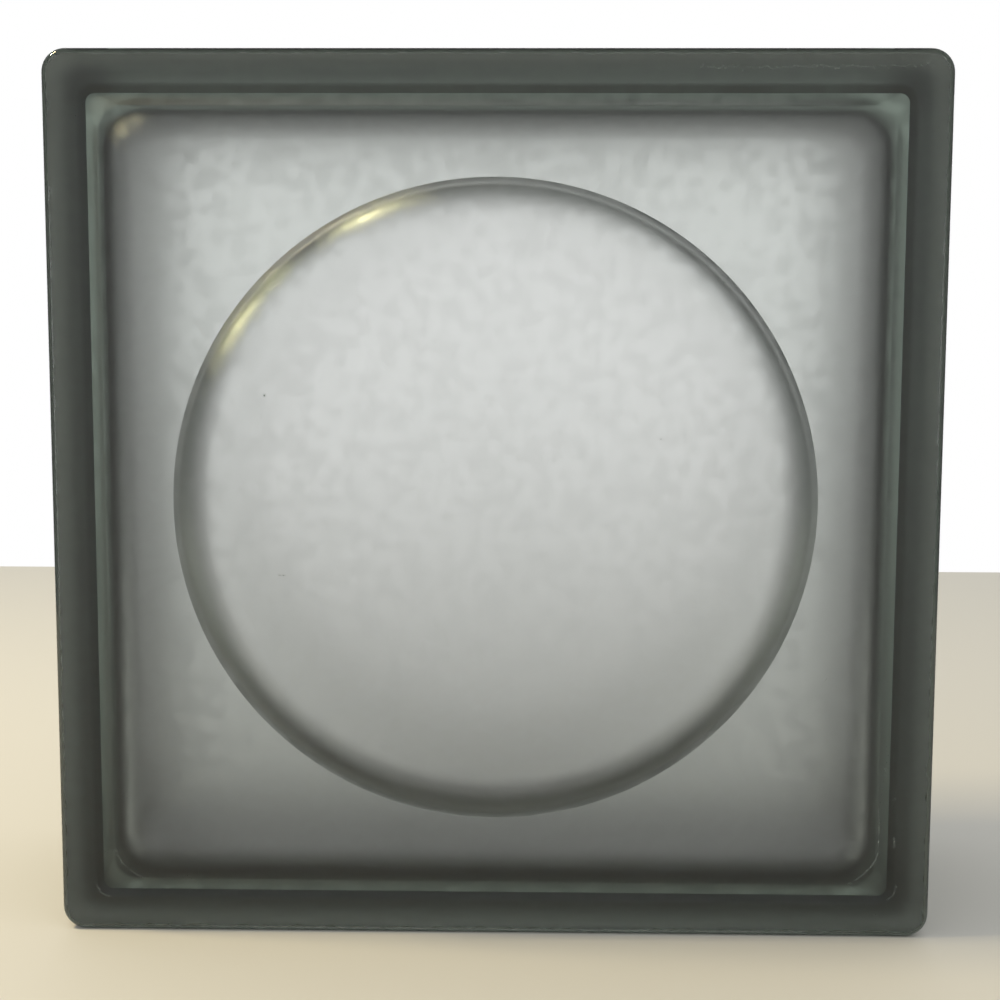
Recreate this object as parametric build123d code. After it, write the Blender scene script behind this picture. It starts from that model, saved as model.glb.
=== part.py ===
import os
from math import atan2, degrees

from build123d import *

os.makedirs("parts", exist_ok=True)

# A hollow glass block for walls, standing on its bottom edge as it does in a wall.
# X runs across the face, +Z is up and the front face looks towards -Y.
# The origin is under the middle of the block, on the floor. All sizes are in millimetres.
# Two trays of pressed glass are fused back to back while hot, so the block is one piece.

# Overall size, over the raised discs of both faces
block_width = 190.0
block_height = 190.0
block_depth = 80.0
outline_radius = 5.0
edge_radius = 1.5

# Rim, and the groove that parts it from the raised panel
rim_width = 7.6
groove_fall = 0.6
groove_fall_width = 1.7
groove_corner_radius = 1.0

# Raised square panel
panel_rise = 1.6
panel_slope_width = 2.7
panel_corner_radius = 5.4
panel_shoulder_radius = 1.2

# Raised round disc on the panel
disc_diameter = 137.0
disc_rise = 3.0
disc_flank_width = 1.6
disc_flank_rise = 1.7
disc_shoulder_width = 5.6

# Glass thickness, and the draft that let the plunger out of the tray
face_thickness = 8.5
wall_thickness = 6.0
plunger_draft_width = 1.5

# Inside of the tray
cavity_corner_radius = 9.0
cavity_root_radius = 7.0
hollow_inset = 0.0
hollow_wall_width = 2.0
hollow_wall_rise = 2.9
hollow_root_width = 6.0
hollow_root_rise = 3.9
hollow_knee_width = 3.6
hollow_knee_rise = 1.1

# Edge of the block: a channel for the mortar between the two lips
lip_thickness = 9.0
channel_depth = 4.0
channel_flank_width = 2.5
channel_corner_radius = 4.0

# Bead of glass squeezed out where the two trays are fused
seam_width = 6.0
seam_height = 0.9
seam_chamfer = 0.7

# Levels of one tray, measured from the seam towards the face
disc_level = block_depth / 2
panel_level = disc_level - disc_rise
groove_level = panel_level - panel_rise
rim_level = groove_level + groove_fall
lip_level = rim_level - lip_thickness
channel_level = lip_level - channel_flank_width
cavity_level = panel_level - face_thickness

# Insets from the outline
groove_inset = rim_width + groove_fall_width
panel_inset = groove_inset + panel_slope_width
cavity_inset = channel_depth + wall_thickness
rim_corner_radius = groove_corner_radius + groove_fall_width

disc_radius = disc_diameter / 2
hollow_radius = disc_radius - hollow_inset


def square_at(level, inset, radius):
    """Rounded square of the block's outline, set in by inset, at a level above the seam."""
    outline = RectangleRounded(block_width - 2 * inset, block_height - 2 * inset, radius)
    return Pos(0, 0, level) * outline


def edges_at(shape, level):
    """Edges of a shape that lie flat at one level."""
    return [edge for edge in shape.edges() if abs(edge.bounding_box().min.Z - level) < 0.001
            and abs(edge.bounding_box().max.Z - level) < 0.001]


def tray_body():
    """Outside of one tray: its lip, the flank of the channel and the wall behind it."""
    lip = extrude(square_at(lip_level, 0, outline_radius), lip_thickness)
    lip = fillet(edges_at(lip, rim_level), edge_radius)
    flank = loft([
        square_at(channel_level, channel_depth, channel_corner_radius),
        square_at(lip_level, 0, outline_radius),
    ])
    wall = extrude(square_at(0, channel_depth, channel_corner_radius), channel_level)
    return wall + flank + lip


def raised_panel():
    """Square panel that stands up from the foot of the groove, with a rounded shoulder."""
    panel = loft([
        square_at(groove_level, groove_inset, groove_corner_radius),
        square_at(panel_level, panel_inset, panel_corner_radius),
    ])
    return fillet(edges_at(panel, panel_level), panel_shoulder_radius)


def groove_cut():
    """Space above the foot of the groove, as wide at the rim as the groove's outer edge."""
    return loft([
        square_at(groove_level, groove_inset, groove_corner_radius),
        square_at(rim_level, rim_width, rim_corner_radius),
    ])


def turned(profile):
    """Solid turned about the block's middle from a profile of radius and level."""
    return revolve(Plane.XZ * make_face(profile), Axis.Z)


def raised_disc():
    """Disc on the panel, with a crisp foot, a steep flank and a broad rounded shoulder."""
    foot = (disc_radius, panel_level)
    crest = (disc_radius - disc_flank_width, panel_level + disc_flank_rise)
    shoulder = (disc_radius - disc_flank_width - disc_shoulder_width, disc_level)
    root_level = panel_level - face_thickness / 4
    profile = Curve() + [
        TangentArc(shoulder, crest, tangent=(1, 0)),
        Polyline(crest, foot, (disc_radius, root_level), (0, root_level), (0, disc_level), shoulder),
    ]
    return turned(profile)


def cavity():
    """Inside of one tray, drafted for the plunger and with a wide root under the face."""
    draft_angle = degrees(atan2(plunger_draft_width, cavity_level))
    space = extrude(square_at(0, cavity_inset, cavity_corner_radius), cavity_level, taper=draft_angle)
    space = fillet(edges_at(space, cavity_level), cavity_root_radius)
    return space + disc_hollow()


def disc_hollow():
    """Round hollow behind the disc, left by a boss on the plunger: a steep wall, then its root."""
    wall_radius = hollow_radius - hollow_wall_width
    floor_radius = wall_radius - hollow_root_width
    wall_level = cavity_level + hollow_wall_rise
    floor_level = wall_level + hollow_root_rise
    root_level = cavity_level - cavity_root_radius / 2
    profile = Polyline(
        (0, root_level),
        (hollow_radius, root_level),
        (hollow_radius, cavity_level),
        (wall_radius, wall_level),
        (floor_radius + hollow_knee_width, floor_level - hollow_knee_rise),
        (floor_radius, floor_level),
        (0, floor_level),
        close=True,
    )
    return turned(profile)


def seam_bead():
    """Half of the low bead round the outside, where the trays are fused."""
    bead = extrude(square_at(0, channel_depth - seam_height, channel_corner_radius), seam_width / 2)
    return chamfer(edges_at(bead, seam_width / 2), seam_chamfer)


def tray():
    """One tray of the block, from the seam to the face."""
    body = tray_body() + seam_bead()
    face = body - groove_cut() + raised_panel() + raised_disc()
    return face - cavity()


def glass_block():
    """The two trays fused into one hollow block, stood on its bottom edge."""
    half = tray()
    whole = half + mirror(half, about=Plane.XY)
    return Pos(0, 0, block_height / 2) * Rot(90, 0, 0) * whole


block = glass_block()
export_step(block, "parts/glass_block.step")
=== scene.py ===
"""Dresses a hollow glass block: satin-etched faces with a raised panel and disc, clear pressed
edges, a fused seam, a bond coat with painted shade, the small marks of handling and a painted
highlight of pale grains, on a plain pale floor.

Sizes are in millimetres until a mesh is made. Z is up and the front face looks towards -Y.
"""

import logging
import math
import random
from dataclasses import dataclass, field
from enum import Enum

import bmesh
import bpy
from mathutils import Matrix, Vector


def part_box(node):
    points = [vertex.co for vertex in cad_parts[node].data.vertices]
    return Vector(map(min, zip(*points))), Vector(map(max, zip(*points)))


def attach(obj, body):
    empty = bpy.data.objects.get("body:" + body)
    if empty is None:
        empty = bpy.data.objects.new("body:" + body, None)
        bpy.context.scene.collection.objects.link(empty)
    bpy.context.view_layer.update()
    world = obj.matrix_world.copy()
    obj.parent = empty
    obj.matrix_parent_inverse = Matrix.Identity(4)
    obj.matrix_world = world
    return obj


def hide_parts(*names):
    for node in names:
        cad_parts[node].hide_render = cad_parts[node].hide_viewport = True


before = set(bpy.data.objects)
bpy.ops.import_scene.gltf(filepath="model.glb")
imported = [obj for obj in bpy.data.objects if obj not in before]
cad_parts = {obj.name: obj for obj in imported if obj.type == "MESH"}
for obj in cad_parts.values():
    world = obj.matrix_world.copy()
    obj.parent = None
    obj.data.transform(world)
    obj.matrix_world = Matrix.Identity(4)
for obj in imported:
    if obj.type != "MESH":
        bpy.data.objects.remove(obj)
log = logging.getLogger("glass_block")

MM = 0.001
NODE = "glass_block"
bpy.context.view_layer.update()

# The colour sockets of a Mix node go by number, because its other types use the same names
MIX_A, MIX_B, MIX_RESULT = 6, 7, 2


def linear(hex_colour: str) -> tuple[float, float, float, float]:
    """Turns an sRGB hex colour into the linear colour that shaders and lamps take.

    Args:
        hex_colour: six hex digits, such as "c8ccc4".

    Returns:
        Linear red, green and blue, and an alpha of 1.
    """
    parts = [int(hex_colour[i:i + 2], 16) / 255 for i in (0, 2, 4)]
    red, green, blue = (
        part / 12.92 if part <= 0.04045 else ((part + 0.055) / 1.055) ** 2.4 for part in parts
    )
    return red, green, blue, 1.0


def empty_piece(name: str) -> bpy.types.Object:
    """Starts an empty mesh, left in edit mode for its shapes to be drawn in.

    Args:
        name: the piece's name.

    Returns:
        The piece.
    """
    bpy.ops.object.select_all(action="DESELECT")
    bpy.ops.mesh.primitive_plane_add(size=MM)
    piece = bpy.context.object
    piece.name = piece.data.name = name
    bpy.ops.object.mode_set(mode="EDIT")
    bpy.ops.mesh.select_all(action="SELECT")
    bpy.ops.mesh.delete(type="VERT")
    return piece


class Side(Enum):
    """Which skin of the glass a mesh is: the outside, or the wall of the air space."""

    OUTSIDE = "outside"
    INSIDE = "inside"


@dataclass(frozen=True)
class Loop:
    """One closed loop of the form, square with rounded corners or round.

    level is how far the loop lies from the seam towards the face. inset is measured from the
    block's outline, and for a round loop radius is its own radius.
    """

    level: float
    inset: float = 0.0
    radius: float = 0.0
    is_round: bool = False


def round_loop(level: float, radius: float) -> Loop:
    """A round loop about the middle of the face."""
    return Loop(level=level, radius=radius, is_round=True)


@dataclass
class LoopStack:
    """One skin of the glass, modelled in edit mode as a stack of loops that are then bridged."""

    name: str
    span: float
    mid_height: float
    corner_segments: int = 10
    side_cuts: int = 45
    blocks: list[tuple[int, int]] = field(default_factory=list)

    def __post_init__(self) -> None:
        """Starts the mesh."""
        self.piece = empty_piece(self.name)

    @property
    def loop_points(self) -> int:
        """How many corners a loop has: square and round ones have the same, to bridge evenly."""
        return 4 * (self.corner_segments + 1 + self.side_cuts)

    def select(self, first: int, last: int, longest: int | None = None) -> None:
        """Selects the edges between two places in the mesh, or only the longest of them.

        Args:
            first: the first vertex.
            last: the vertex after the last.
            longest: how many of the longest edges are wanted, where not all are.
        """
        bpy.ops.mesh.select_all(action="DESELECT")
        work = bmesh.from_edit_mesh(self.piece.data)
        work.verts.ensure_lookup_table()
        chosen = set(work.verts[first:last])
        edges = [edge for edge in work.edges if set(edge.verts) <= chosen]
        if longest is not None:
            edges = sorted(edges, key=lambda edge: edge.calc_length())[-longest:]
        for edge in edges:
            edge.select_set(True)
        bmesh.update_edit_mesh(self.piece.data)

    def count(self) -> int:
        """How many vertices the mesh has now."""
        return len(bmesh.from_edit_mesh(self.piece.data).verts)

    def add(self, loop: Loop) -> None:
        """Draws one loop as edges, at its level.

        Args:
            loop: the loop's place and form.
        """
        start = self.count()
        bpy.ops.mesh.select_all(action="DESELECT")
        centre = Vector((0, -loop.level, self.mid_height)) * MM
        upright = (math.pi / 2, 0, 0)
        if loop.is_round:
            bpy.ops.mesh.primitive_circle_add(
                vertices=self.loop_points, radius=loop.radius * MM,
                location=centre, rotation=upright)
        else:
            width = (self.span - 2 * loop.inset) * MM
            bpy.ops.mesh.primitive_plane_add(size=width, location=centre, rotation=upright)
            bpy.ops.mesh.delete(type="ONLY_FACE")
            self.select(start, self.count())
            bpy.ops.mesh.bevel(
                offset=loop.radius * MM, segments=self.corner_segments, affect="VERTICES")
            # The four straight sides are the longest edges now
            self.select(start, self.count(), longest=4)
            bpy.ops.mesh.subdivide(number_cuts=self.side_cuts)
        self.blocks.append((start, self.count()))

    def bridge_all(self) -> None:
        """Bridges each loop to the one before it."""
        for (first, _), (_, last) in zip(self.blocks, self.blocks[1:]):
            self.select(first, last)
            bpy.ops.mesh.bridge_edge_loops()

    def cap_last(self) -> None:
        """Closes the last loop with one flat face."""
        self.select(*self.blocks[-1])
        bpy.ops.mesh.edge_face_add()


@dataclass(frozen=True)
class Tray:
    """One pressed half of the block, as the real sizes of its form.

    Each ease is a row of loops that rounds a corner. A loop's three values say how far it departs
    from the sharp corner: in level, across, and in corner radius. The bead's two say at what level
    it swells into the air space, and by how much. The steps are the loops of a rounding. support
    is how far past a rounding its flat gets a first loop, sink how far that loop lies off level,
    and gap what parts the hollow's mouth from the flat end of the air space.
    """

    span: float
    depth: float
    outline_radius: float = 5.0
    edge_radius: float = 1.5
    edge_steps: int = 8
    rim_width: float = 7.6
    rim_radius: float = 0.5
    groove_fall: float = 0.6
    groove_fall_width: float = 1.7
    groove_corner_radius: float = 2.0
    panel_rise: float = 1.6
    panel_slope_width: float = 2.7
    panel_corner_radius: float = 5.4
    panel_shoulder_radius: float = 1.2
    panel_steps: int = 6
    disc_radius: float = 68.5
    disc_rise: float = 3.0
    disc_edge_width: float = 7.2
    disc_steps: int = 12
    flank_width: float = 1.6
    flank_rise: float = 1.7
    flank_steps: int = 4
    face_thickness: float = 8.5
    wall_thickness: float = 6.0
    plunger_draft_width: float = 1.5
    cavity_corner_radius: float = 9.0
    cavity_corner_shrink: float = 0.6
    cavity_corner_least: float = 2.0
    cavity_root_radius: float = 7.0
    cavity_steps: int = 9
    cavity_bead: tuple[tuple[float, float], ...] = (
        (0.0, 0.9), (1.0, 0.75), (2.0, 0.35), (3.0, 0.05))
    hollow_slope: float = 66.0
    hollow_mouth_width: float = 1.0
    hollow_mouth_steps: int = 5
    hollow_wall_width: float = 1.0
    hollow_root_width: float = 6.0
    hollow_root_steps: int = 12
    lip_thickness: float = 9.0
    lip_ease: tuple[tuple[float, float, float], ...] = (
        (-0.5, 0.8, 0.3), (-0.05, 0.24, 0.1), (0.5, 0.0, 0.0))
    channel_depth: float = 4.0
    channel_flank_width: float = 2.5
    channel_corner_radius: float = 4.0
    channel_ease: tuple[tuple[float, float, float], ...] = (
        (-1.6, 0.0, 0.0), (-0.6, 0.12, 0.0), (0.5, 0.9, 0.3))
    seam_width: float = 6.0
    seam_height: float = 0.9
    seam_steps: int = 6
    support: float = 0.3
    sink: float = 0.02
    gap: float = 0.05

    @property
    def disc_level(self) -> float:
        """Level of the disc, half the block's depth from the seam."""
        return self.depth / 2

    @property
    def panel_level(self) -> float:
        """Level of the raised panel."""
        return self.disc_level - self.disc_rise

    @property
    def groove_level(self) -> float:
        """Level of the foot of the groove."""
        return self.panel_level - self.panel_rise

    @property
    def rim_level(self) -> float:
        """Level of the flat rim."""
        return self.groove_level + self.groove_fall

    @property
    def lip_level(self) -> float:
        """Level of the lip's rear, where the flank of the mortar channel starts."""
        return self.rim_level - self.lip_thickness

    @property
    def cavity_level(self) -> float:
        """Level of the air space's flat end, behind the panel."""
        return self.panel_level - self.face_thickness

    def support_of(self, last: Loop, rise: float) -> Loop:
        """A loop close inside the last one of a rounding, so that its flat starts cleanly.

        Args:
            last: the last loop of the rounding.
            rise: how far the new loop lies above it.

        Returns:
            The new loop.
        """
        if last.is_round:
            return round_loop(last.level + rise, last.radius - self.support)
        return Loop(last.level + rise, last.inset + self.support, last.radius)

    def outside_loops(self) -> list[Loop]:
        """Loops of the outer skin, from the seam over the lip to the middle of the face."""
        return [*self.seam_loops(), *self.lip_loops(), *self.panel_loops(), *self.disc_loops()]

    def seam_loops(self) -> list[Loop]:
        """Half of the bead of glass round the fused seam, a low rounded ridge.

        Returns:
            Its loops, from the seam to the channel's floor.
        """
        loops = []
        for step in range(self.seam_steps + 1):
            turn = math.pi * step / self.seam_steps
            level = self.seam_width / 2 * step / self.seam_steps
            height = self.seam_height * (1 + math.cos(turn)) / 2
            loops.append(Loop(level, self.channel_depth - height, self.channel_corner_radius))
        return loops

    def lip_loops(self) -> list[Loop]:
        """Floor and flank of the mortar channel, and the lip round to its rounded outer edge.

        Returns:
            Their loops, from the channel's floor to the rim.
        """
        channel_level = self.lip_level - self.channel_flank_width
        loops = []
        for up, out, more in self.channel_ease:
            corner = self.channel_corner_radius + more
            loops.append(Loop(channel_level + up, self.channel_depth - out, corner))
        for up, inward, less in self.lip_ease:
            loops.append(Loop(self.lip_level + up, inward, self.outline_radius - less))
        for step in range(self.edge_steps + 1):
            turn = math.pi / 2 * step / self.edge_steps
            inward = self.edge_radius * (1 - math.cos(turn))
            level = self.rim_level - self.edge_radius * (1 - math.sin(turn))
            loops.append(Loop(level, inward, self.outline_radius - inward))
        return loops

    def panel_loops(self) -> list[Loop]:
        """Rim, groove and shoulder of the square panel.

        Returns:
            Their loops, from the rim to the panel's flat.
        """
        groove_inset = self.rim_width + self.groove_fall_width
        rim_corner = self.groove_corner_radius + self.groove_fall_width
        panel_inset = groove_inset + self.panel_slope_width
        ease = self.rim_radius
        drop = ease * self.groove_fall / self.groove_fall_width
        loops = [
            Loop(self.rim_level - self.sink, self.rim_width - ease, rim_corner + ease),
            # The middle of a rounding like a parabola lies a quarter of the way down
            Loop(self.rim_level - self.sink - drop / 4, self.rim_width, rim_corner),
            Loop(self.rim_level - drop, self.rim_width + ease, rim_corner - ease),
            Loop(self.groove_level, groove_inset, self.groove_corner_radius),
        ]
        slope = math.atan2(self.panel_rise, self.panel_slope_width)
        radius = self.panel_shoulder_radius
        setback = radius * math.tan(slope / 2)
        for step in range(self.panel_steps + 1):
            way = step / self.panel_steps
            turn = slope * (1 - way)
            inset = panel_inset + setback - radius * math.sin(turn)
            level = self.panel_level - radius * (1 - math.cos(turn)) + self.sink * way
            share = min((inset - groove_inset) / self.panel_slope_width, 1.0)
            corner = self.groove_corner_radius * (1 - share) + self.panel_corner_radius * share
            loops.append(Loop(level, inset, corner))
        return [*loops, self.support_of(loops[-1], self.sink)]

    def disc_loops(self) -> list[Loop]:
        """Crisp foot, steep flank and softly rounded shoulder of the disc.

        Returns:
            Their loops, from the panel to the disc's flat.
        """
        loops = []
        for step in range(self.flank_steps):
            share = step / self.flank_steps
            level = self.panel_level + self.flank_rise * share
            loops.append(round_loop(level, self.disc_radius - self.flank_width * share))
        flat_radius = self.disc_radius - self.disc_edge_width
        rise = self.disc_rise - self.flank_rise
        width = self.disc_edge_width - self.flank_width
        radius = (width * width + rise * rise) / (2 * rise)
        spread = math.asin(width / radius)
        for step in range(self.disc_steps + 1):
            turn = spread * (1 - step / self.disc_steps)
            level = self.disc_level - radius * (1 - math.cos(turn))
            loops.append(round_loop(level, flat_radius + radius * math.sin(turn)))
        return [*loops, self.support_of(loops[-1], -self.sink)]

    def inside_loops(self) -> list[Loop]:
        """Wall of the air space: the bead at the seam, the drafted side and its wide root.

        Returns:
            Its loops, from the seam to the middle of the face.
        """
        inset = self.channel_depth + self.wall_thickness
        draft = self.plunger_draft_width
        radius = self.cavity_root_radius
        slope = math.atan2(draft, self.cavity_level)
        corner = self.cavity_corner_radius
        loops = []
        for level, swell in self.cavity_bead:
            loops.append(Loop(level, inset + draft * level / self.cavity_level + swell, corner))
        for step in range(self.cavity_steps + 1):
            turn = slope + (math.pi / 2 - slope) * step / self.cavity_steps
            level = self.cavity_level - radius * (1 - math.sin(turn))
            inward = draft * (1 - radius / self.cavity_level) + radius * (1 - math.cos(turn))
            shrunk = max(corner - inward * self.cavity_corner_shrink, self.cavity_corner_least)
            loops.append(Loop(level, inset + inward, shrunk))
        return [*loops, self.support_of(loops[-1], self.sink), *self.hollow_loops()]

    def hollow_loops(self) -> list[Loop]:
        """Round hollow behind the disc: rounded mouth, steep wall and a wide rounded root.

        Returns:
            Its loops, from the air space's flat end to the hollow's own.
        """
        slope = math.radians(self.hollow_slope)
        radius = self.disc_radius
        level = self.cavity_level + self.gap
        loops = [round_loop(level, radius)]
        mouth = self.hollow_mouth_width / math.sin(slope)
        for step in range(1, self.hollow_mouth_steps + 1):
            turn = slope * step / self.hollow_mouth_steps
            rise = mouth * (1 - math.cos(turn))
            loops.append(round_loop(level + rise, radius - mouth * math.sin(turn)))
        level += mouth * (1 - math.cos(slope)) + self.hollow_wall_width * math.tan(slope)
        radius -= self.hollow_mouth_width + self.hollow_wall_width + self.hollow_root_width
        root = self.hollow_root_width / math.sin(slope)
        top = level + root * (1 - math.cos(slope))
        for step in range(self.hollow_root_steps + 1):
            way = step / self.hollow_root_steps
            turn = slope * (1 - way)
            level = top - root * (1 - math.cos(turn)) + self.sink * way
            loops.append(round_loop(level, radius + root * math.sin(turn)))
        return [*loops, self.support_of(loops[-1], self.sink)]


@dataclass
class GlassBlock:
    """The whole block: two trays fused back to back, with the outer and the inner skin."""

    tray: Tray
    height: float
    smooth_angle: float = 28.0
    merge_gap: float = 0.02

    def build(self) -> bpy.types.Object:
        """Models both skins and joins them into one closed piece.

        Returns:
            The finished piece, undressed.
        """
        outside = self.skin(Side.OUTSIDE, self.tray.outside_loops())
        inside = self.skin(Side.INSIDE, self.tray.inside_loops())
        bpy.ops.object.select_all(action="DESELECT")
        outside.select_set(True)
        inside.select_set(True)
        bpy.context.view_layer.objects.active = outside
        bpy.ops.object.join()
        piece = bpy.context.object
        piece.name = piece.data.name = "satin_block"
        bpy.ops.object.shade_smooth_by_angle(angle=math.radians(self.smooth_angle))
        weighted = piece.modifiers.new("even_faces", "WEIGHTED_NORMAL")
        weighted.keep_sharp = True
        # At 100 the large faces alone decide, so the flats stay flat to the eye
        weighted.weight = 100
        bpy.ops.object.modifier_apply(modifier=weighted.name)
        return piece

    def coat_channel(self, piece: bpy.types.Object) -> None:
        """Gives the faces of the mortar channel the second material.

        Args:
            piece: the finished block.
        """
        top = self.tray.lip_level * MM
        reach = (self.tray.span / 2 - self.tray.channel_depth - self.tray.wall_thickness / 2) * MM
        middle = Vector((0, 0, self.height / 2)) * MM
        for face in piece.data.polygons:
            place = face.center - middle
            if abs(place.y) < top and max(abs(place.x), abs(place.z)) > reach:
                face.material_index = 1

    def skin(self, side: Side, loops: list[Loop]) -> bpy.types.Object:
        """Models one skin: half of it loop by loop, then its mirror image.

        Args:
            side: which skin it is.
            loops: the loops of the front half, from the seam inwards.

        Returns:
            The skin, closed, with its faces pointing out of the glass.
        """
        work = LoopStack(f"{side.value}_skin", self.tray.span, self.height / 2)
        for loop in loops:
            work.add(loop)
        work.bridge_all()
        work.cap_last()
        bpy.ops.object.mode_set(mode="OBJECT")
        mirror = work.piece.modifiers.new("rear_half", "MIRROR")
        mirror.use_axis = (False, True, False)
        mirror.use_mirror_merge = True
        mirror.merge_threshold = self.merge_gap * MM
        bpy.ops.object.modifier_apply(modifier=mirror.name)
        bpy.ops.object.mode_set(mode="EDIT")
        bpy.ops.mesh.select_all(action="SELECT")
        bpy.ops.mesh.normals_make_consistent(inside=side is Side.INSIDE)
        bpy.ops.object.mode_set(mode="OBJECT")
        return work.piece


def fill(node: bpy.types.Node, settings: dict) -> None:
    """Sets a shader node's values and links its inputs.

    Args:
        node: the node.
        settings: what each property or input gets, by its name or number. An output socket is
            linked to the input, and anything else is set as its value.
    """
    for name, value in settings.items():
        if isinstance(value, bpy.types.NodeSocket):
            node.id_data.links.new(value, node.inputs[name])
        elif isinstance(name, str) and hasattr(node, name):
            setattr(node, name, value)
        else:
            node.inputs[name].default_value = value


def add_node(tree: bpy.types.NodeTree, kind: str, settings: dict | None = None) -> bpy.types.Node:
    """Adds one shader node with its settings and links.

    Args:
        tree: the node tree it goes in.
        kind: the node's type.
        settings: its values and links, as fill takes them.

    Returns:
        The new node.
    """
    node = tree.nodes.new(kind)
    fill(node, settings or {})
    return node


def new_material(name: str) -> tuple[bpy.types.Material, bpy.types.NodeTree, bpy.types.Node]:
    """Starts a material with the plain shader.

    Args:
        name: the material's name.

    Returns:
        The material, its node tree and its shader.
    """
    material = bpy.data.materials.new(name)
    material.use_nodes = True
    return material, material.node_tree, material.node_tree.nodes["Principled BSDF"]


@dataclass
class Place:
    """Sockets that say where on the block a point is, for its materials.

    point is its place in the block's own frame, level is how far it lies from the seam, and inset
    is how far in it lies from the block's rounded outline.
    """

    tree: bpy.types.NodeTree
    tray: Tray
    height: float

    def __post_init__(self) -> None:
        """Adds the nodes that work the three out."""
        tree = self.tree
        corner_radius = self.tray.outline_radius * MM
        straight = self.tray.span / 2 * MM - corner_radius
        middle = (0.0, 0.0, self.height / 2 * MM)
        self.point = add_node(tree, "ShaderNodeTexCoord").outputs["Object"]
        centred = add_node(tree, "ShaderNodeVectorMath", {
            "operation": "SUBTRACT", 0: self.point, 1: middle}).outputs[0]
        folded = add_node(tree, "ShaderNodeVectorMath", {
            "operation": "ABSOLUTE", 0: centred}).outputs[0]
        self.level = add_node(tree, "ShaderNodeSeparateXYZ", {0: folded}).outputs["Y"]
        # How far the point lies past the straight sides, where the round corners start
        past = add_node(tree, "ShaderNodeVectorMath", {
            "operation": "SUBTRACT", 0: folded,
            1: (straight, self.tray.depth / 2 * MM, straight)}).outputs[0]
        corner = add_node(tree, "ShaderNodeVectorMath", {
            "operation": "MAXIMUM", 0: past, 1: (0.0, 0.0, 0.0)}).outputs[0]
        outward = add_node(tree, "ShaderNodeVectorMath", {
            "operation": "LENGTH", 0: corner}).outputs["Value"]
        sides = add_node(tree, "ShaderNodeSeparateXYZ", {0: past}).outputs
        nearest = add_node(tree, "ShaderNodeMath", {
            "operation": "MAXIMUM", 0: sides["X"], 1: sides["Z"]}).outputs[0]
        inward = add_node(tree, "ShaderNodeMath", {
            "operation": "MINIMUM", 0: nearest, 1: 0.0}).outputs[0]
        reach = add_node(tree, "ShaderNodeMath", {
            "operation": "ADD", 0: outward, 1: inward}).outputs[0]
        self.inset = add_node(tree, "ShaderNodeMath", {
            "operation": "SUBTRACT", 0: corner_radius, 1: reach}).outputs[0]


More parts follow.
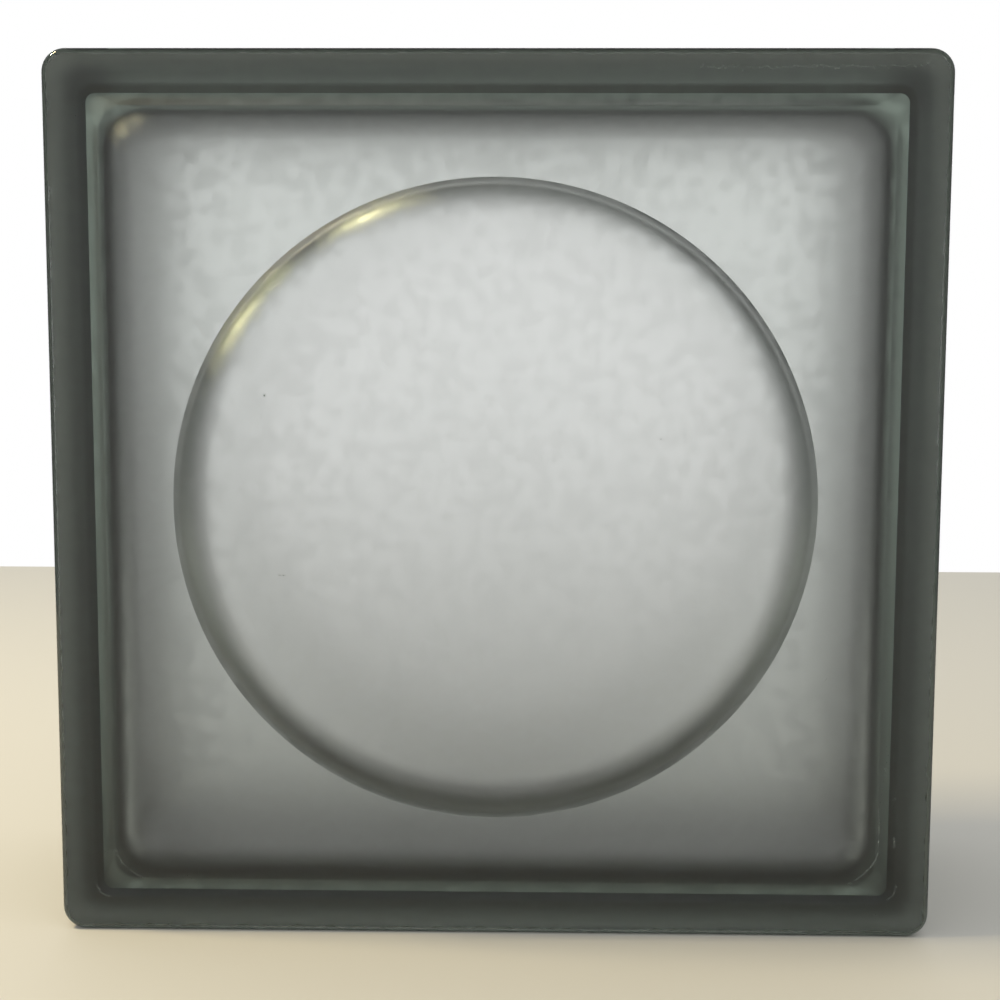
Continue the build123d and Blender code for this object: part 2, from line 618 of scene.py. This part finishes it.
@dataclass(frozen=True)
class SatinGlass:
    """Soda-lime glass, pressed: grey-green through its body, etched to a satin on both faces.

    The tint is in the body, so it deepens where the eye looks along the walls. The etch scatters
    light, has a soft mottle, and stops in a ragged line on the rounded outer edge, which stays
    clear and glossy. etch_inset is how far in that line lies, etch_ragged how far it strays, and
    etch_blur how softly it ends. The other etch sizes bound the etched skin: how far it starts
    below the foot of the groove and above the rim, and the inset past which only what lies above
    the rim is etched, so that the inside stays clear.
    """

    name: str = "satin_etched_glass"
    body: str = "aabcae"
    density: float = 28.0
    index: float = 1.52
    clear_roughness: float = 0.03
    etched_roughness: float = 0.55
    roughness_spread: float = 0.06
    mottle_size: float = 3.0
    mottle_depth: float = 0.06
    mottle_range: tuple[float, float] = (0.3, 0.7)
    etch_inset: float = 1.35
    etch_ragged: float = 0.5
    etch_blur: float = 0.12
    etch_below_groove: tuple[float, float] = (-0.9, -0.6)
    etch_above_rim: tuple[float, float] = (0.1, 0.2)
    etch_groove_inset: tuple[float, float] = (14.0, 14.5)

    def make(self, tray: Tray, height: float) -> bpy.types.Material:
        """Makes the material.

        Args:
            tray: the form, whose levels and insets place the etch.
            height: the block's height.

        Returns:
            The material.
        """
        material, tree, shader = new_material(self.name)
        place = Place(tree, tray, height)
        texture = add_node(tree, "ShaderNodeTexNoise", {
            "Scale": 1 / (self.mottle_size * MM), "Detail": 0.0,
            "Vector": place.point}).outputs[0]
        etch = self.etch(place, texture)
        low, high = self.mottle_range
        rough, mottle = (
            add_node(tree, "ShaderNodeMapRange", {
                "interpolation_type": "SMOOTHSTEP", "Value": texture, "From Min": low,
                "From Max": high, "To Min": first, "To Max": last}).outputs[0]
            for first, last in (
                (self.etched_roughness - self.roughness_spread,
                 self.etched_roughness + self.roughness_spread),
                (self.mottle_depth, 0.0),
            )
        )
        shade = add_node(tree, "ShaderNodeMath", {
            "operation": "MULTIPLY", 0: etch, 1: mottle}).outputs[0]
        tint = add_node(tree, "ShaderNodeMix", {
            "data_type": "RGBA", "Factor": shade,
            MIX_A: linear("ffffff"), MIX_B: linear("000000")}).outputs[MIX_RESULT]
        roughness = add_node(tree, "ShaderNodeMix", {
            "Factor": etch, "A": self.clear_roughness, "B": rough}).outputs[0]
        # Plain GGX renders faster than the kind that follows light from facet to facet. It loses
        # a little light, which the studio's backdrop gives back
        fill(shader, {
            "distribution": "GGX", "IOR": self.index, "Transmission Weight": 1.0,
            "Base Color": tint, "Roughness": roughness})
        volume = add_node(tree, "ShaderNodeVolumeAbsorption", {
            "Color": linear(self.body), "Density": self.density}).outputs[0]
        fill(tree.nodes["Material Output"], {"Volume": volume})
        return material

    def etch(self, place: Place, texture: bpy.types.NodeSocket) -> bpy.types.NodeSocket:
        """Mask of the etched skin: both faces, up to a ragged line on their rounded outer edge.

        Args:
            place: the sockets of the point's place.
            texture: the noise that makes the line ragged.

        Returns:
            A socket that is 1 where the glass is etched and 0 where it is clear.
        """
        tree, tray = place.tree, place.tray
        # The noise runs from 0 to 1, so twice the stray less once the stray goes both ways
        stray = self.etch_ragged * MM
        ragged = add_node(tree, "ShaderNodeMath", {
            "operation": "MULTIPLY_ADD", 0: texture, 1: 2 * stray, 2: -stray}).outputs[0]
        edge = add_node(tree, "ShaderNodeMath", {
            "operation": "ADD", 0: place.inset, 1: ragged}).outputs[0]
        past_edge, on_rim, on_panel, in_groove = (
            add_node(tree, "ShaderNodeMapRange", {
                "interpolation_type": "SMOOTHSTEP", "Value": value,
                "From Min": (base + start) * MM, "From Max": (base + stop) * MM,
                "To Min": first, "To Max": 1.0 - first}).outputs[0]
            for value, base, (start, stop), first in (
                (edge, self.etch_inset, (-self.etch_blur, self.etch_blur), 0.0),
                (place.level, tray.groove_level, self.etch_below_groove, 0.0),
                (place.level, tray.rim_level, self.etch_above_rim, 0.0),
                (place.inset, 0.0, self.etch_groove_inset, 1.0),
            )
        )
        low = add_node(tree, "ShaderNodeMath", {
            "operation": "MULTIPLY", 0: on_rim, 1: in_groove}).outputs[0]
        face = add_node(tree, "ShaderNodeMath", {
            "operation": "MAXIMUM", 0: on_panel, 1: low}).outputs[0]
        return add_node(tree, "ShaderNodeMath", {
            "operation": "MULTIPLY", 0: face, 1: past_edge}).outputs[0]


@dataclass(frozen=True)
class BondCoatAndShade:
    """Grey coat on the mortar channel, which mortar keys to: matte, and dark through glass.

    It is pale on the flank beside the lip and darkens towards the channel's floor. That darkening
    is painted shade, which the rim shows through the glass as its dark band.
    """

    name: str = "bond_coat_and_painted_shade"
    pale_coat_colour: str = "b8c0b6"
    painted_shade_colour: str = "3e4742"
    fade_width: float = 2.6
    roughness: float = 0.8

    def make(self, tray: Tray, height: float) -> bpy.types.Material:
        """Makes the material.

        Args:
            tray: the form, whose levels place the coat's thickness.
            height: the block's height.

        Returns:
            The material.
        """
        material, tree, shader = new_material(self.name)
        # Painted shade: the colour darkens from the pale coat by the lip to the channel floor
        share = add_node(tree, "ShaderNodeMapRange", {
            "interpolation_type": "SMOOTHSTEP", "Value": Place(tree, tray, height).level,
            "From Min": (tray.lip_level - self.fade_width) * MM,
            "From Max": tray.lip_level * MM}).outputs[0]
        colour = add_node(tree, "ShaderNodeMix", {
            "data_type": "RGBA", "Factor": share, MIX_A: linear(self.painted_shade_colour),
            MIX_B: linear(self.pale_coat_colour)}).outputs[MIX_RESULT]
        fill(shader, {"Roughness": self.roughness, "Base Color": colour})
        return material


@dataclass(frozen=True)
class ScuffAndHighlightRow:
    """A bowed row of tiny bright grains in the etch, or a single speck where both ends meet. Most
    rows are bruises, and the long rows along the top rim are a painted highlight.

    start and end are across and up from the middle of the face. bow is how far the row's middle
    stands out to the left of its way. bits is how many grains it has, size how far a grain
    reaches each way, and scatter how far they stray to the side.
    """

    start: tuple[float, float]
    end: tuple[float, float]
    bow: float = 0.0
    bits: int = 1
    size: float = 0.16
    scatter: float = 0.1


@dataclass
class HandlingAndHighlight:
    """Small marks on the front: scuffs, chips, dust and one thread of lint that handling left, and
    a painted highlight of pale grains along the top rim.

    Grains vary in size, and each is stretched along the face, thin, and sunk in the surface by
    the share of its half thickness that sunk gives. ray_start is how far from the seam the rays
    start that find the surface.
    """

    block: bpy.types.Object
    mid_height: float
    scuffs_and_painted_highlight: tuple[ScuffAndHighlightRow, ...] = (
        ScuffAndHighlightRow((84.9, -51.9), (83.2, -66.0), bow=0.4, bits=16, size=0.12),
        ScuffAndHighlightRow((83.2, -66.0), (83.2, -76.0), bow=0.3, bits=22, size=0.14),
        ScuffAndHighlightRow((83.2, -76.0), (76.6, -82.8), bow=1.0, bits=26, size=0.14),
        ScuffAndHighlightRow((87.0, -60.9), (86.7, -67.3), bits=8, size=0.1),
        ScuffAndHighlightRow((87.1, -72.6), (86.9, -75.0), bits=12, size=0.14),
        ScuffAndHighlightRow((87.8, -83.2), (85.8, -86.6), bow=0.4, bits=12, size=0.13),
        ScuffAndHighlightRow((-82.7, -75.6), (-75.6, -82.9), bow=-1.5, bits=26, size=0.13),
        ScuffAndHighlightRow((-87.2, -84.5), (-84.1, -87.5), bow=-0.8, bits=14, size=0.12),
        # Painted highlight: these two long rows of pale grains stand for the jagged highlight line
        # on the top rim
        ScuffAndHighlightRow((42.2, 90.9), (90.4, 90.9), bits=90, size=0.12, scatter=0.3),
        ScuffAndHighlightRow((60.0, 91.2), (88.0, 91.1), bits=50, size=0.1, scatter=0.25),
        ScuffAndHighlightRow((83.4, -89.8), (83.4, -89.8), size=0.3),
        ScuffAndHighlightRow((-88.8, 80.5), (-85.7, 84.1), bits=9, size=0.07, scatter=0.6),
        ScuffAndHighlightRow((-86.7, -78.4), (-82.7, -76.8), bits=7, size=0.08, scatter=0.8),
        ScuffAndHighlightRow((-90.1, -90.4), (-88.8, -89.6), bits=3, size=0.1),
        ScuffAndHighlightRow((-45.9, -15.1), (-44.3, -15.1), bits=14, size=0.09, scatter=0.03),
        ScuffAndHighlightRow((70.7, -38.0), (71.4, -37.2), bits=8, size=0.08, scatter=0.03),
        ScuffAndHighlightRow((-67.2, -81.8), (-65.9, -82.9), bow=-0.15, bits=16, size=0.08, scatter=0.02),
        ScuffAndHighlightRow((-48.4, 23.0), (-48.2, 23.2), bits=3, size=0.2, scatter=0.12),
        ScuffAndHighlightRow((34.9, 14.2), (34.9, 14.2), size=0.14),
    )
    seed: int = 11
    sizes: tuple[float, float] = (0.5, 1.3)
    stretch: tuple[float, float] = (0.6, 1.6)
    thinness: tuple[float, float] = (0.3, 0.5)
    sunk: float = 0.7
    ray_start: float = 60.0

    def build(self) -> bpy.types.Object:
        """Models every mark as small faceted grains that sit in the surface.

        Returns:
            The piece that holds them all.
        """
        random.seed(self.seed)
        piece = empty_piece("scuffs_dust_and_painted_highlight")
        for mark_row in self.scuffs_and_painted_highlight:
            self.row(mark_row)
        bpy.ops.object.mode_set(mode="OBJECT")
        return piece

    def row(self, mark_row: ScuffAndHighlightRow) -> None:
        """Sets the grains of one row along its bow.

        Args:
            mark_row: its ends, bow and grains.
        """
        start, end = Vector(mark_row.start), Vector(mark_row.end)
        way = end - start
        aside = Vector((-way.y, way.x)).normalized() if way.length else Vector((0, 0))
        for bit in range(mark_row.bits):
            share = (bit + random.random()) / mark_row.bits
            stray = random.gauss(0, mark_row.scatter) if mark_row.bits > 1 else 0.0
            spot = start + way * share + aside * (mark_row.bow * 4 * share * (1 - share) + stray)
            self.grain(spot, mark_row.size * random.uniform(*self.sizes))

    def grain(self, spot: Vector, size: float) -> None:
        """Sets one grain in the front surface, with most of it sunk.

        Args:
            spot: its place across and up from the middle of the face.
            size: about how far it reaches each way.
        """
        origin = Vector((spot.x, -self.ray_start, spot.y + self.mid_height)) * MM
        hit, place, _, _ = self.block.ray_cast(origin, Vector((0, 1, 0)))
        if not hit:
            return
        scale = tuple(
            random.uniform(*span) for span in (self.stretch, self.thinness, self.stretch))
        place.y += self.sunk * scale[1] * size * MM
        bpy.ops.mesh.primitive_ico_sphere_add(
            subdivisions=1, radius=size * MM, location=place, scale=scale,
            rotation=(0, random.uniform(0, math.pi), 0))


@dataclass(frozen=True)
class ScuffedGlassAndHighlight:
    """Crushed glass and dust, and the pale grains of the painted highlight on the top rim: matte
    and pale, a little darker where dust fills it.
    """

    name: str = "crushed_glass_dust_and_painted_highlight"
    pale: str = "aab3ad"
    dusty: str = "7f867d"
    roughness: float = 0.7
    mottle_size: float = 0.6

    def make(self) -> bpy.types.Material:
        """Makes the material.

        Returns:
            The material.
        """
        material, tree, shader = new_material(self.name)
        point = add_node(tree, "ShaderNodeTexCoord").outputs["Object"]
        noise = add_node(tree, "ShaderNodeTexNoise", {
            "Scale": 1 / (self.mottle_size * MM), "Vector": point}).outputs[0]
        colour = add_node(tree, "ShaderNodeMix", {
            "data_type": "RGBA", "Factor": noise, MIX_A: linear(self.dusty),
            MIX_B: linear(self.pale)}).outputs[MIX_RESULT]
        fill(shader, {"Roughness": self.roughness, "Base Color": colour})
        return material


@dataclass(frozen=True)
class Studio:
    """Pale floor under soft light from a surround that is white at eye level.

    The surround is white to the eye. In the glass it has backdrop_light within backdrop_half
    degrees of straight ahead and straight behind, and falls to dim_side by backdrop_end. Everything
    else is lit by it at soft_light. One warm lamp, high on the left, gives the glints on the
    pressed edges. It is aimed at aim_height on the block.
    """

    floor_colour: str = "d8d7cf"
    floor_roughness: float = 0.7
    floor_size: float = 982.0
    soft_light: float = 0.7
    backdrop_light: float = 1.08
    dim_side: float = 0.216
    backdrop_half: float = 25.0
    backdrop_end: float = 55.0
    lamp_place: tuple[float, float, float] = (-490.0, -50.0, 670.0)
    lamp_colour: str = "ffe9b8"
    lamp_power: float = 4.0
    lamp_size: float = 150.0
    aim_height: float = 95.0

    def build(self) -> None:
        """Makes the floor, the surround and the lamp."""
        self.floor()
        self.surround()
        self.lamp()

    def floor(self) -> None:
        """Makes the plain pale floor."""
        bpy.ops.object.select_all(action="DESELECT")
        bpy.ops.mesh.primitive_plane_add(size=self.floor_size * MM)
        floor = bpy.context.object
        floor.name = "floor"
        material, _, shader = new_material("pale_floor")
        fill(shader, {"Base Color": linear(self.floor_colour), "Roughness": self.floor_roughness})
        floor.data.materials.append(material)

    def surround(self) -> None:
        """Makes the world: white to the eye, softer as a light, and dimmer overhead in glass."""
        world = bpy.data.worlds.new("surround")
        bpy.context.scene.world = world
        # The surround has no small bright spot, so rays find it without its own sampling
        world.cycles.sampling_method = "NONE"
        world.use_nodes = True
        tree = world.node_tree
        tree.nodes.clear()
        aim = add_node(tree, "ShaderNodeTexCoord").outputs["Generated"]
        ahead = add_node(tree, "ShaderNodeSeparateXYZ", {0: aim}).outputs["Y"]
        ahead = add_node(tree, "ShaderNodeMath", {"operation": "ABSOLUTE", 0: ahead}).outputs[0]
        glassy = add_node(tree, "ShaderNodeMapRange", {
            "interpolation_type": "SMOOTHSTEP", "Value": ahead,
            "From Min": math.cos(math.radians(self.backdrop_end)),
            "From Max": math.cos(math.radians(self.backdrop_half)),
            "To Min": self.dim_side, "To Max": self.backdrop_light}).outputs[0]
        path = add_node(tree, "ShaderNodeLightPath").outputs
        in_glass = add_node(tree, "ShaderNodeMath", {
            "operation": "MAXIMUM", 0: path["Is Glossy Ray"],
            1: path["Is Transmission Ray"]}).outputs[0]
        level = add_node(tree, "ShaderNodeMix", {
            "Factor": in_glass, "A": self.soft_light, "B": glassy}).outputs[0]
        level = add_node(tree, "ShaderNodeMix", {
            "Factor": path["Is Camera Ray"], "A": level, "B": 1.0}).outputs[0]
        light = add_node(tree, "ShaderNodeBackground", {
            "Color": linear("ffffff"), "Strength": level}).outputs[0]
        add_node(tree, "ShaderNodeOutputWorld", {"Surface": light})

    def lamp(self) -> None:
        """Hangs the warm lamp, aimed at the middle of the block."""
        lamp = bpy.data.lights.new("warm_lamp", "AREA")
        lamp.energy = self.lamp_power
        lamp.size = self.lamp_size * MM
        lamp.color = linear(self.lamp_colour)[:3]
        # Past one bounce its light would only speckle the glass
        lamp.cycles.max_bounces = 1
        holder = bpy.data.objects.new("warm_lamp", lamp)
        bpy.context.collection.objects.link(holder)
        holder.location = Vector(self.lamp_place) * MM
        aim = Vector((0, 0, self.aim_height)) * MM - holder.location
        holder.rotation_euler = aim.to_track_quat("-Z", "Y").to_euler()


@dataclass(frozen=True)
class PhotoCamera:
    """The photograph's viewpoint: close, a little above the middle and almost square on.

    turns are its tilt up from straight down, its roll and its pan, in degrees.
    """

    place: tuple[float, float, float] = (7.6, -378.1, 133.3)
    turns: tuple[float, float, float] = (83.74, -0.183, 1.097)
    lens: float = 58.17
    sensor: float = 36.0
    nearest: float = 10.0

    def build(self) -> None:
        """Makes the camera and sets it as the scene's own."""
        data = bpy.data.cameras.new("photo_camera")
        data.lens = self.lens
        data.sensor_width = self.sensor
        data.clip_start = self.nearest * MM
        camera = bpy.data.objects.new("photo_camera", data)
        bpy.context.collection.objects.link(camera)
        camera.location = Vector(self.place) * MM
        camera.rotation_euler = [math.radians(turn) for turn in self.turns]
        bpy.context.scene.camera = camera


def main() -> None:
    """Builds the block and its surroundings in order."""
    logging.basicConfig(level=logging.INFO, format="%(message)s")
    bpy.context.scene.view_settings.view_transform = "Standard"
    PhotoCamera().build()
    low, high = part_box(NODE)
    tray = Tray(span=(high[0] - low[0]) / MM, depth=(high[1] - low[1]) / MM)
    block = GlassBlock(tray, height=(high[2] - low[2]) / MM)
    piece = block.build()
    piece.data.materials.append(SatinGlass().make(tray, block.height))
    piece.data.materials.append(BondCoatAndShade().make(tray, block.height))
    block.coat_channel(piece)
    marks = HandlingAndHighlight(piece, block.height / 2).build()
    marks.data.materials.append(ScuffedGlassAndHighlight().make())
    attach(marks, "root")
    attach(piece, "root")
    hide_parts(NODE)
    for made in (marks, piece):
        log.info("%s: %d faces", made.name, len(made.data.polygons))
    Studio().build()


if __name__ == "__main__":
    main()
